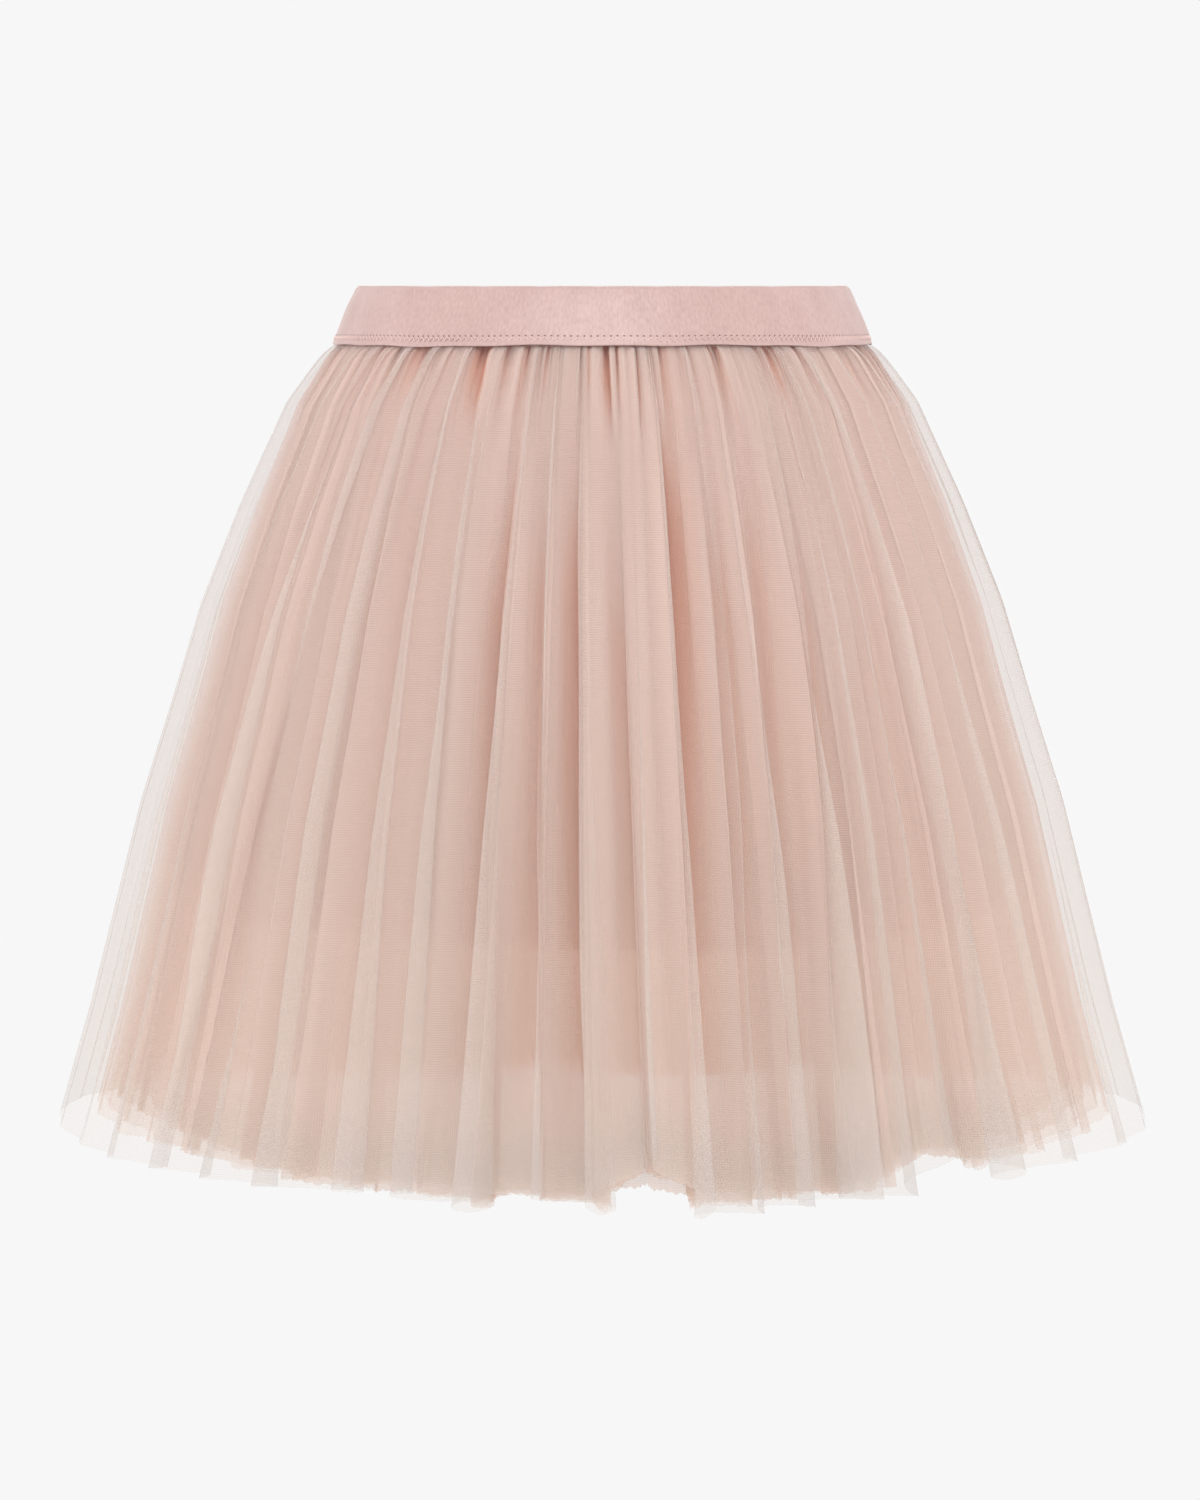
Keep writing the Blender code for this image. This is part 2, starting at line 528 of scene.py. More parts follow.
PUCKER_SHADE = srgb(180, 120, 108)
# Each tulle's colours in order: near the waist, near the hem, the painted highlight along a
# crease, the painted shade between folds, the painted shade by the hem, the painted shade under
# the band; then cover, crease cover and fray.
SHEER = TulleFinish(
    "tulle_sheer", srgb(222, 206, 198), srgb(220, 206, 197), srgb(228, 212, 205),
    srgb(216, 186, 172), srgb(210, 199, 192), PUCKER_SHADE, 0.28, 0.02, 0.0005,
)
BLUSH = TulleFinish(
    "tulle_blush", srgb(250, 217, 206), srgb(244, 215, 200), srgb(250, 221, 210),
    srgb(238, 167, 136), srgb(229, 204, 189), PUCKER_SHADE, 0.36, 0.02, 0.0012,
)
PEACH = TulleFinish(
    "tulle_peach", srgb(249, 206, 188), srgb(245, 208, 186), srgb(248, 211, 191),
    srgb(238, 160, 125), srgb(234, 202, 183), PUCKER_SHADE, 0.52, 0.02, 0.0025,
)
LINING = LiningFinish("lining_knit", srgb(222, 174, 168), srgb(214, 164, 158))
SATIN = ElasticFinish("elastic_satin", srgb(207, 174, 168), srgb(176, 142, 136), srgb(110, 70, 64))
THREAD = ThreadFinish("thread", srgb(222, 193, 187))
FLOOR = FloorFinish("floor", srgb(246, 246, 246), 1.2, 1.9)


# ---------------------------------------------------------------- the hang of the skirt


@dataclass(frozen=True)
class Section:
    """The outer layer's size at one height.

    Args:
        drop: How far below the band's top edge it is.
        half_width: Half the width there.
        half_depth: Half the depth there.
    """

    drop: float
    half_width: float
    half_depth: float


@dataclass(frozen=True)
class Flute:
    """One large fold, from the waist to the hem.

    Args:
        hem_bearing: Where its crest is at the hem, in degrees from the front towards +X.
        waist_bearing: Where its crest is at the waist.
        depth: Crest to valley at the hem.
        tuck: How far its flanks fold back beneath the crest; over 1 they overlap.
        lean: How far the crest leans sideways, as a share of the depth.
        opens: The share of the drop where it starts.
        hem: How much longer the cloth is at its crest than on average.
        notch: How far the hem rises in the valley after it.
    """

    hem_bearing: float
    waist_bearing: float
    depth: float
    tuck: float
    lean: float
    opens: float
    hem: float
    notch: float


SECTIONS = (
    Section(0.0294, 0.1400, 0.1130),
    Section(0.0580, 0.1610, 0.1315),
    Section(0.1090, 0.1845, 0.1535),
    Section(0.1600, 0.2050, 0.1720),
    Section(0.2110, 0.2205, 0.1870),
    Section(0.2630, 0.2370, 0.2015),
    Section(0.3150, 0.2500, 0.2135),
    Section(0.3670, 0.2632, 0.2250),
    Section(0.4345, 0.2825, 0.2390),
)

FLUTES = tuple(
    Flute(*row)
    for row in (
        (-80.0, -80.5, 0.007, 1.6, 0.2, 0.30, 0.000, 0.000),
        (-69.0, -69.5, 0.006, 1.4, 0.6, 0.20, 0.000, 0.000),
        (-60.0, -60.5, 0.007, 1.6, 0.5, 0.10, 0.000, 0.000),
        (-51.0, -51.5, 0.009, 2.4, 0.8, 0.10, -0.001, 0.000),
        (-43.5, -44.5, 0.006, 0.9, 0.4, 0.15, -0.001, 0.000),
        (-35.0, -37.0, 0.012, 3.4, 0.9, 0.05, -0.001, 0.000),
        (-25.6, -28.5, 0.007, 2.2, 0.5, 0.20, -0.002, 0.001),
        (-19.8, -22.5, 0.007, 1.6, 0.4, 0.30, -0.002, 0.000),
        (-12.6, -13.5, 0.020, 4.0, 0.3, 0.15, 0.004, 0.004),
        (-6.6, -9.0, 0.010, 2.2, 0.6, 0.20, -0.004, 0.001),
        (-0.3, -4.0, 0.021, 3.8, 0.2, 0.15, 0.004, 0.000),
        (5.0, 3.0, 0.008, 1.2, 0.3, 0.30, -0.027, 0.000),
        (9.9, 9.6, 0.019, 3.4, -0.5, 0.08, 0.006, 0.000),
        (15.6, 16.8, 0.013, 2.0, -0.6, 0.20, 0.004, 0.001),
        (20.2, 22.0, 0.009, 2.4, -0.4, 0.15, 0.003, 0.001),
        (26.0, 30.0, 0.019, 3.8, -0.3, 0.12, 0.001, 0.000),
        (31.6, 34.5, 0.008, 1.6, -0.5, 0.35, 0.002, 0.000),
        (37.2, 39.0, 0.008, 1.2, -0.5, 0.35, -0.018, 0.000),
        (44.5, 45.0, 0.016, 3.6, -0.6, 0.08, 0.001, 0.001),
        (54.5, 52.5, 0.008, 1.7, -0.5, 0.25, -0.002, 0.000),
        (67.9, 66.0, 0.006, 1.5, -0.4, 0.20, 0.000, 0.000),
        (80.0, 79.5, 0.007, 1.6, -0.2, 0.30, 0.001, 0.000),
        (93.0, 92.0, 0.008, 2.2, 0.2, 0.05, 0.000, 0.000),
        (104.0, 103.5, 0.010, 1.7, 0.6, 0.05, -0.001, 0.001),
        (116.5, 114.0, 0.016, 2.8, -0.5, -0.15, 0.002, 0.004),
        (127.0, 125.5, 0.012, 1.9, 0.6, 0.08, -0.002, 0.000),
        (136.5, 136.0, 0.014, 2.7, 0.2, -0.20, 0.003, 0.002),
        (149.0, 146.5, 0.018, 3.2, -0.6, 0.12, 0.001, 0.009),
        (159.0, 158.0, 0.012, 1.8, 0.4, -0.05, -0.002, 0.000),
        (169.5, 169.0, 0.015, 2.9, 0.5, -0.15, 0.003, 0.001),
        (181.0, 181.5, 0.018, 3.3, -0.2, 0.06, 0.004, 0.012),
        (191.0, 192.5, 0.012, 1.8, -0.6, -0.10, -0.001, 0.000),
        (202.5, 203.0, 0.017, 3.0, 0.4, -0.18, 0.002, 0.003),
        (213.0, 214.5, 0.011, 1.7, -0.4, 0.14, -0.002, 0.000),
        (225.5, 225.0, 0.016, 2.8, 0.6, -0.12, 0.003, 0.006),
        (236.0, 236.5, 0.012, 2.0, -0.6, 0.05, -0.002, 0.000),
        (246.5, 247.5, 0.013, 2.5, 0.3, -0.15, 0.001, 0.001),
        (258.0, 258.5, 0.010, 1.6, -0.4, 0.10, 0.000, 0.000),
        (269.0, 269.0, 0.008, 2.2, 0.2, 0.05, 0.000, 0.000),
    )
)

BAND_HEIGHT = 0.029
HEM_DROP = 0.4345
SEAM_DROP = BAND_HEIGHT + 0.0004


class Form(Enum):
    """How a fold turns back on itself."""

    BOX = "both flanks tuck under a crest"
    KNIFE = "one flank tucks under, right beneath the crest"

    def wave(self, place: Grid, side: Grid) -> Grid:
        """Gives how far the cloth stands out, from -1 to 1.

        Args:
            place: The place, counted in folds.
            side: For each fold, -1 or 1: which of its edges lies on top.

        Returns:
            The share of half the fold's depth.
        """
        crest = -np.cos(TAU * place)
        if self is Form.BOX:
            return crest
        return 0.5 * crest - 0.85 * held(place, side) * np.sin(TAU * place)

    def fullness(self, place: Grid, side: Grid) -> Grid:
        """Gives how crowded the cloth is: most at a fold's upper edge, least right beyond it.

        Args:
            place: The place, counted in folds.
            side: For each fold, -1 or 1: which of its edges lies on top.

        Returns:
            The crowding, from -1 to 0.5.
        """
        if self is Form.BOX:
            return -0.5 * np.cos(TAU * place)
        within = np.mod(place, 1.0)
        facing = np.where(held(place, side) > 0, within, 1 - within)
        since = np.mod(facing - 0.64, 1.0)
        body = 0.5 - 1.5 * since - 0.5 * eased((since - 0.30) / 0.10)
        return np.where(since < 0.72, np.maximum(body, -1), -1 + 1.5 * (since - 0.72) / 0.28)

    def sway(self, place: Grid) -> Grid:
        """Gives how far the cloth moves sideways.

        Args:
            place: The place, counted in folds.

        Returns:
            The move in folds, for each unit of tuck.
        """
        if self is Form.BOX:
            return np.sin(2 * TAU * place) / (2 * TAU)
        return np.sin(TAU * place) / TAU


def eased(share: Grid) -> Grid:
    """Runs from 0 to 1 with soft ends, and stays there beyond them."""
    kept = np.clip(share, 0, 1)
    return kept * kept * (3 - 2 * kept)


def around(places: Grid, values: Sequence[float], rise: float = 0.0) -> Grid:
    """Reads a list of values round a ring with soft turns between them.

    Args:
        places: Where to read, counted in entries of the list.
        values: The list. Entry k is met at k + 0.5.
        rise: What one whole turn adds to the values.

    Returns:
        The values at those places.
    """
    count = len(values)
    spread = np.arange(-1, count + 2)
    rounded = np.array([values[k % count] + rise * (k // count) for k in spread])
    base = np.floor(places - 0.5)
    slide = places - 0.5 - base
    first = rounded[(base + 1).astype(int)]
    second = rounded[(base + 2).astype(int)]
    return first + (second - first) * slide


def held(places: Grid, values: Sequence[float]) -> Grid:
    """Reads a list of values round a ring, each held from one fold's start to the next."""
    return np.asarray(values)[np.floor(places).astype(int) % len(values)]


def tucked(share: Grid, tuck: Grid, opens: Grid) -> Grid:
    """Gives how far a fold's flanks are turned back at each height.

    Its two edges part where it opens, and run straight from there to the hem.

    Args:
        share: The share of the drop.
        tuck: The fold's tuck at the hem.
        opens: The share of the drop where its edges part.

    Returns:
        The tuck. Below 1 the cloth doesn't overlap.
    """
    parting = 1 + (tuck - 1) * (share - opens) / (1 - opens)
    return np.where(tuck > 1, np.clip(parting, 0, None), tuck * np.ones_like(share))


@dataclass(frozen=True)
class Folds:
    """Many like folds round a ply, uneven in place, depth, length and lean.

    Args:
        count: How many there are round the ring.
        depth: Crest to valley, in metres.
        tuck: How far the flanks fold back beneath the crest.
        lean: The most that a crest leans to either side, as a share of the depth.
        opens: The shares of the drop between which a fold opens.
        fades: The shares of the drop between which a fold dies away.
        slant: How far the folds stray sideways on the way down, in folds.
        seed: What fixes the unevenness.
        form: How the folds turn back.
        crowding: How much the cloth's density changes across a fold.
    """

    count: int
    depth: float
    tuck: float
    lean: float
    opens: tuple[float, float]
    fades: tuple[float, float]
    slant: float
    seed: int
    form: Form = Form.BOX
    crowding: float = 0.0

    def shift(self, turn: Grid, share: Grid, spread: Grid) -> tuple[Grid, Grid, Grid]:
        """Works out where the folds carry the cloth, and how crowded it is there.

        Args:
            turn: The share of the way round the ply, one row.
            share: The share of the drop, one column.
            spread: The length that one turn of cloth would take at each point's pace.

        Returns:
            How far each point moves sideways and outwards, in metres, and its crowding.
        """
        draw = np.random.default_rng(self.seed)
        wander = sum(
            draw.uniform(0.10, 0.32) * np.sin(TAU * (waves * turn + draw.uniform()))
            for waves in (3, 7, 13, 19)
        )
        stray = sum(np.sin(TAU * (waves * turn + draw.uniform())) for waves in (2, 5, 9))
        place = np.mod(turn * self.count + wander + self.slant * stray * share, self.count)
        size = around(place, draw.uniform(0.1, 1.0, self.count) ** 1.5 * 1.6)
        opens = around(place, draw.uniform(*self.opens, self.count))
        fades = around(place, draw.uniform(*self.fades, self.count))
        lean = around(place, draw.uniform(-self.lean, self.lean, self.count))
        side = draw.choice([-1.0, 1.0], self.count)
        kept = 1 - eased((share - fades) / 0.24 + 0.5)
        growth = np.clip((share - opens) / 0.3 + 0.4, 0, 1) * kept
        out = 0.5 * self.depth * size * growth * self.form.wave(place, side)
        tuck = tucked(share, self.tuck * size, opens) * kept
        across = tuck * spread / self.count * self.form.sway(place)
        crowding = self.crowding * np.clip(size, 0, 1.2) * growth
        crowding = crowding * self.form.fullness(place, side)
        return across + lean * out, out, crowding


class Hang:
    """How the skirt's cloth hangs: the oval at each height, and the large flutes."""

    def half_width(self, drop: Grid) -> Grid:
        """Gives the oval's half width at a drop."""
        return np.interp(drop, [s.drop for s in SECTIONS], [s.half_width for s in SECTIONS])

    def half_depth(self, drop: Grid) -> Grid:
        """Gives the oval's half depth at a drop."""
        return np.interp(drop, [s.drop for s in SECTIONS], [s.half_depth for s in SECTIONS])

    def bearings(self, turn: Grid, share: Grid, phase: float) -> tuple[Grid, Grid]:
        """Gives each point's bearing, with the cloth spread evenly between the flutes.

        Args:
            turn: The share of the way round, one row.
            share: The share of the drop, one column.
            phase: How far this ply's flutes sit to the side of the outer ply's, in flutes.

        Returns:
            The bearings in degrees, and the place counted in flutes.
        """
        place = np.mod(turn * len(FLUTES) + phase, len(FLUTES))
        whole = np.floor(turn * len(FLUTES) + phase) - np.floor(place)
        hem = around(place, [f.hem_bearing for f in FLUTES], 360) + 360 * whole / len(FLUTES)
        waist = around(place, [f.waist_bearing for f in FLUTES], 360) + 360 * whole / len(FLUTES)
        return waist + (hem - waist) * share, place

    def spread(self, place: Grid, run: Grid) -> Grid:
        """Gives the length that one turn of cloth would take at each point's pace.

        Args:
            place: The place round the ring, counted in flutes.
            run: How far a point moves for each radian of bearing.

        Returns:
            The lengths.
        """
        crests = np.array([f.hem_bearing for f in FLUTES])
        before = np.roll(crests, 1) - 360 * (np.arange(len(FLUTES)) == 0)
        after = np.roll(crests, -1) + 360 * (np.arange(len(FLUTES)) == len(FLUTES) - 1)
        return np.radians(around(place, (after - before) / 2)) * run * len(FLUTES)

    def flutes(
        self, place: Grid, share: Grid, spread: Grid, keep: float, tuck: float, form: Form
    ) -> tuple[Grid, Grid, Grid]:
        """Works out where the large flutes carry the cloth, and how crowded it is there.

        Args:
            place: The place round the ring, counted in flutes.
            share: The share of the drop, one column.
            spread: What spread() gives.
            keep: How much of the flutes' depth this ply takes.
            tuck: How much of their tuck it takes.
            form: How its folds turn back.

        Returns:
            How far each point moves sideways and outwards, in metres, and its crowding.
        """
        opens = around(place, [f.opens for f in FLUTES])
        growth = 0.06 + 0.94 * np.clip(share, 0, 1) ** 0.85
        depth = around(place, [f.depth for f in FLUTES]) * keep * growth
        tucks = tucked(share, around(place, [f.tuck for f in FLUTES]) * tuck, opens)
        lean = around(place, [f.lean for f in FLUTES])
        sides = [math.copysign(1, f.lean) for f in FLUTES]
        out = 0.5 * depth * form.wave(place, sides)
        across = tucks * spread / len(FLUTES) * form.sway(place)
        strength = np.clip(around(place, [f.depth for f in FLUTES]) / 0.014, 0.3, 1.3)
        strength = strength * eased((share - opens) / 0.3 + 0.5) * (1.1 - 0.45 * share)
        crowding = strength * form.fullness(place, sides)
        return across + lean * out, out, crowding


HANG = Hang()


def on_oval(half_width: Grid, half_depth: Grid, angle: Grid, out: Grid) -> tuple[Grid, Grid]:
    """Gives the place of points that stand out squarely from an oval.

    Args:
        half_width: Half the oval's width.
        half_depth: Half its depth.
        angle: The bearing from the front, in radians.
        out: How far the points stand out from the oval.

    Returns:
        Their X and their Y.
    """
    normal_x = half_depth * np.sin(angle)
    normal_y = -half_width * np.cos(angle)
    length = np.hypot(normal_x, normal_y)
    x = half_width * np.sin(angle) + out * normal_x / length
    y = -half_depth * np.cos(angle) + out * normal_y / length
    return x, y


def placed(name: str, data: bpy.types.ID) -> bpy.types.Object:
    """Puts an object that shows this data into the scene.

    Args:
        name: The object's name.
        data: Its mesh, lamp or camera.

    Returns:
        The object.
    """
    item = bpy.data.objects.new(name, data)
    bpy.context.scene.collection.objects.link(item)
    return item


def dressed(mesh: bpy.types.Mesh, material: bpy.types.Material) -> bpy.types.Object:
    """Shades a mesh smoothly, gives it its finish and puts it into the scene.

    Args:
        mesh: The mesh.
        material: The finish.

    Returns:
        The new piece.
    """
    mesh.shade_smooth()
    mesh.materials.append(material)
    return placed(mesh.name, mesh)


def sheet_mesh(
    name: str,
    points: Grid,
    cut: Grid,
    painted: Mapping[str, Grid],
    material: bpy.types.Material,
) -> bpy.types.Object:
    """Makes a tube of cloth from a grid of points.

    Args:
        name: The piece's name.
        points: Rows from the top down, each a closed ring of points.
        cut: For each point, its place on the cloth as cut, in metres.
        painted: Values to store on the points, by name.
        material: The finish.

    Returns:
        The new piece.
    """
    rows, columns = points.shape[:2]
    mesh = bpy.data.meshes.new(name)
    index = np.arange(rows * columns).reshape(rows, columns)
    ahead = np.roll(index, -1, axis=1)
    faces = np.stack([index[:-1], index[1:], ahead[1:], ahead[:-1]], axis=-1).reshape(-1, 4)
    mesh.from_pydata(points.reshape(-1, 3).tolist(), [], faces.tolist())
    width = cut[0, -1, 0] + (cut[0, -1, 0] - cut[0, -2, 0])
    corners = cut.reshape(-1, 2)[faces]
    last = np.arange(len(faces)) % columns == columns - 1
    corners[last, 2:, 0] = width
    layer = mesh.uv_layers.new(name=CUT_MAP)
    layer.uv.foreach_set("vector", corners.astype(np.float32).ravel())
    for label, values in painted.items():
        store = mesh.attributes.new(label, "FLOAT", "POINT")
        spread = np.broadcast_to(values, (rows, columns)).astype(np.float32)
        store.data.foreach_set("value", np.ascontiguousarray(spread).ravel())
    return dressed(mesh, material)


WELD = 1e-7
THREAD_SIDES = 6


def weld(piece: bpy.types.Object) -> None:
    """Joins the points of a piece that lie in one place.

    Args:
        piece: The piece to weld.
    """
    shape = bmesh.new()
    shape.from_mesh(piece.data)
    bmesh.ops.remove_doubles(shape, verts=shape.verts, dist=WELD)
    bmesh.ops.recalc_face_normals(shape, faces=shape.faces)
    shape.to_mesh(piece.data)
    shape.free()


def thread_tube(
    name: str, route: Grid, radius: float, material: bpy.types.Material
) -> bpy.types.Object:
    """Makes a closed loop of thread.

    Args:
        name: The piece's name.
        route: The points along it.
        radius: The thread's radius.
        material: The finish.

    Returns:
        The new piece.
    """
    ahead = np.roll(route, -1, axis=0) - np.roll(route, 1, axis=0)
    ahead /= np.linalg.norm(ahead, axis=1)[:, None]
    outwards = route * np.array([1.0, 1.0, 0.0])
    side = np.cross(ahead, outwards)
    side /= np.linalg.norm(side, axis=1)[:, None]
    rise = np.cross(side, ahead)
    angles = np.arange(THREAD_SIDES) * TAU / THREAD_SIDES
    rings = [route + radius * (side * math.cos(a) + rise * math.sin(a)) for a in angles]
    points = np.stack(rings, axis=1)
    index = np.arange(points.shape[0] * THREAD_SIDES).reshape(-1, THREAD_SIDES)
    along = np.roll(index, -1, axis=0)
    faces = np.stack(
        [index, np.roll(index, -1, axis=1), np.roll(along, -1, axis=1), along], axis=-1
    ).reshape(-1, 4)
    mesh = bpy.data.meshes.new(name)
    mesh.from_pydata(points.reshape(-1, 3).tolist(), [], faces.tolist())
    return dressed(mesh, material)


# ---------------------------------------------------------------- the pieces


@dataclass
class TullePly:
    """One ply of gathered tulle, sewn inside the band's foot and hanging over the layers below.

    Args:
        name: The piece's name.
        node: The solid that it stands for.
        slot: The record's material slot; not used.
        finish: Its cloth.
        shorter: How much shorter than the longest hem it is.
        waist_inset: How far inside the outer ply it lies where it is sewn.
        hem_inset: And at the level of the longest hem.
        keep: How much of the large flutes' depth it takes.
        tuck: How much of their tuck it takes.
        form: How its large flutes turn back.
        phase: How far its flutes sit to the side, in flutes.
        folds: Its own folds, from large to fine.
        hem_wave: How far its hem strays up and down.
        notched: How much of the flutes' notches its hem takes.
        cut_width: The width of the strip that was gathered.
        seed: What fixes its hem.
        calm: How far from the two sides its folds die down.
        crowding: How much its density changes across a large flute.
        columns: Points round the ply.
        rows: Points down the ply.

    ALLOWANCE is the raw edge above the seam, and ALLOWANCE_ROWS its rows of points. PINCH is how
    far the seam draws the cloth in, and PINCH_REACH how soon that fades below it. ROW_EASE packs
    the rows closer near the seam. Over HEM_EASE the gathers even out towards the hem. PATCH_WIDTH
    and PATCH_STRENGTH are the net's faint uneven patches. CREASE_BEND is the curvature, for each
    metre, at which a crease starts to show and at which it is full.
    """

    name: str
    node: str
    slot: str
    finish: TulleFinish
    shorter: float
    waist_inset: float
    hem_inset: float
    keep: float
    tuck: float
    form: Form
    phase: float
    folds: tuple[Folds, ...]
    hem_wave: float
    notched: float
    cut_width: float
    seed: int
    calm: float = 0.10
    crowding: float = 1.2
    columns: int = 1300
    rows: int = 62

    ALLOWANCE: ClassVar[float] = 0.006
    ALLOWANCE_ROWS: ClassVar[int] = 4
    PINCH: ClassVar[float] = 0.0034
    PINCH_REACH: ClassVar[float] = 0.003
    ROW_EASE: ClassVar[float] = 1.35
    HEM_EASE: ClassVar[float] = 0.06
    PATCH_WIDTH: ClassVar[float] = 0.022
    PATCH_STRENGTH: ClassVar[float] = 0.10
    CREASE_BEND: ClassVar[tuple[float, float]] = (350, 1050)

    def hem(self, turn: Grid) -> Grid:
        """Gives the hem, nearest the outer ply's at the front and the back.

        Args:
            turn: The share of the way round the ply, one row.

        Returns:
            Its drop all round the ply.
        """
        bearing, place = HANG.bearings(turn, np.ones((1, 1)), self.phase)
        draw = np.random.default_rng(self.seed)
        wave = sum(
            draw.uniform(0.3, 1.0) / k * np.sin(TAU * (k * 4 * turn + draw.uniform()))
            for k in (1, 2, 3)
        )
        longer = around(place, [f.hem for f in FLUTES])
        valley = 0.5 + 0.5 * np.cos(TAU * place)
        notches = around(place - 0.5, [f.notch for f in FLUTES]) * valley
        ahead = np.cos(np.radians(bearing)) ** 2
        shorter = self.shorter * (1.0 - 1.2 * ahead) + 0.010 * np.exp(-ahead / 0.45)
        return HEM_DROP - shorter + self.hem_wave * wave / 1.6 + self.notched * (longer - notches)

    def build(self) -> bpy.types.Object:
        """Builds and dresses the ply.

        Returns:
            The piece.
        """
        turn = np.arange(self.columns)[None, :] / self.columns
        hem = self.hem(turn)
        line = (np.arange(self.rows)[:, None] / (self.rows - 1)) ** self.ROW_EASE
        drop = SEAM_DROP + (hem - SEAM_DROP) * line
        points, crowding = self.hung(turn, drop)
        points = np.concatenate([self.allowance(points[0]), points])
        raw_edge = (self.ALLOWANCE_ROWS, self.columns)
        above = np.arange(self.ALLOWANCE_ROWS, 0, -1)[:, None] / self.ALLOWANCE_ROWS
        upper = np.broadcast_to(SEAM_DROP - self.ALLOWANCE * above, raw_edge)
        down = np.concatenate([upper, drop])
        cut = np.stack([np.broadcast_to(turn * self.cut_width, down.shape), down], axis=-1)
        even = 0.3 + 0.7 * eased((hem - drop) / self.HEM_EASE)
        fullness = np.clip(1 + crowding * even, 0.15, 2.5) * self.patches(turn, drop)
        painted = {
            DROP: down,
            CREASE: self.creases(points),
            ABOVE_HEM: hem - down,
            FULLNESS: np.concatenate([np.ones(raw_edge), fullness]),
        }
        piece = sheet_mesh(self.name, points, cut, painted, self.finish.material())
        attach(piece, BODY)
        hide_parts(self.node)
        flat = (self.cut_width, round(HEM_DROP - self.shorter - SEAM_DROP + self.ALLOWANCE, 3))
        return piece

    def hung(self, turn: Grid, drop: Grid) -> tuple[Grid, Grid]:
        """Works out where the cloth hangs below the seam.

        Args:
            turn: The share of the way round the ply, one row.
            drop: Each point's drop.

        Returns:
            The points, and how crowded the cloth is at each.
        """
        share = (drop - SEAM_DROP) / (HEM_DROP - SEAM_DROP)
        bearing, place = HANG.bearings(turn, share, self.phase)
        inward = self.hem_inset - self.waist_inset
        inset = self.waist_inset + inward * np.sqrt(np.clip(share, 0, 1))
        near_seam = np.exp((SEAM_DROP - drop) / self.PINCH_REACH)
        pinch = self.PINCH * near_seam
        half_width = HANG.half_width(drop) - inset - pinch
        half_depth = HANG.half_depth(drop) - inset - pinch
        angle = np.radians(bearing)
        run = np.hypot(half_width * np.cos(angle), half_depth * np.sin(angle))
        spread = HANG.spread(place, run)
        across, out, crowding = HANG.flutes(place, share, spread, self.keep, self.tuck, self.form)
        crowding = self.crowding * crowding
        along = turn + self.phase / len(FLUTES)
        for folds in self.folds:
            more_across, more_out, more_crowding = folds.shift(along, share, spread)
            across = across + more_across
            out = out + more_out
            crowding = crowding + more_crowding
        still = 1 - np.exp(-(np.cos(angle) ** 2) / self.calm)
        lively = 0.4 + 0.6 * still
        angle = angle + across * lively / run
        out = out * (0.15 + 0.85 * still) * (1 - near_seam**3)
        x, y = on_oval(half_width, half_depth, angle, out)
        return np.stack([x, y, BAND_HEIGHT / 2 - drop], axis=-1), crowding * lively

    def patches(self, turn: Grid, drop: Grid) -> Grid:
        """Gives long faint patches that run down the cloth, denser and thinner by turns.

        Args:
            turn: The share of the way round the ply, one row.
            drop: Each point's drop.

        Returns:
            The density, near 1 on average.
        """
        draw = np.random.default_rng(self.seed + 400)
        count = round(self.cut_width / self.PATCH_WIDTH)
        long_ones = draw.uniform(-1, 1, (3, count))
        place = turn * count
        spans = [around(place + 0.3 * k, long_ones[k]) for k in range(3)]
        down = np.clip(drop / HEM_DROP, 0, 1) * 2
        early, late = np.clip(1 - down, 0, 1), np.clip(down - 1, 0, 1)
        mixed = spans[0] * early + spans[1] * (1 - early - late) + spans[2] * late
        return 1 + self.PATCH_STRENGTH * mixed

    def allowance(self, top: Grid) -> Grid:
        """Gives the rows of raw edge that stand up behind the band, above the seam.

        Args:
            top: The first row of the hanging cloth.

        Returns:
            Rows of points, the raw edge first.
        """
        rows = []
        for k in range(self.ALLOWANCE_ROWS):
            rise = 1 - k / self.ALLOWANCE_ROWS
            ring = top.copy()
            length = np.hypot(ring[:, 0], ring[:, 1])[:, None]
            pull = (0.0018 - self.waist_inset * 0.3) * eased(np.array(rise * 1.6)) + 0.0014 * rise
            ring[:, :2] *= 1 - pull / length
            ring[:, 2] += self.ALLOWANCE * rise
            rows.append(ring)
        return np.stack(rows)

    def creases(self, points: Grid) -> Grid:
        """Marks where the cloth turns sharply.

        Args:
            points: The ply's points.

        Returns:
            How creased the cloth is at each, from 0 to 1.
        """
        ahead = np.roll(points, -1, axis=1) - points
        behind = points - np.roll(points, 1, axis=1)
        size = np.linalg.norm(ahead, axis=2) * np.linalg.norm(behind, axis=2)
        cosine = np.clip((ahead * behind).sum(axis=2) / size, -1, 1)
        step = 0.5 * (np.linalg.norm(ahead, axis=2) + np.linalg.norm(behind, axis=2))
        bend = np.arccos(cosine) / step
        least, most = self.CREASE_BEND
        return eased((bend - least) / (most - least))


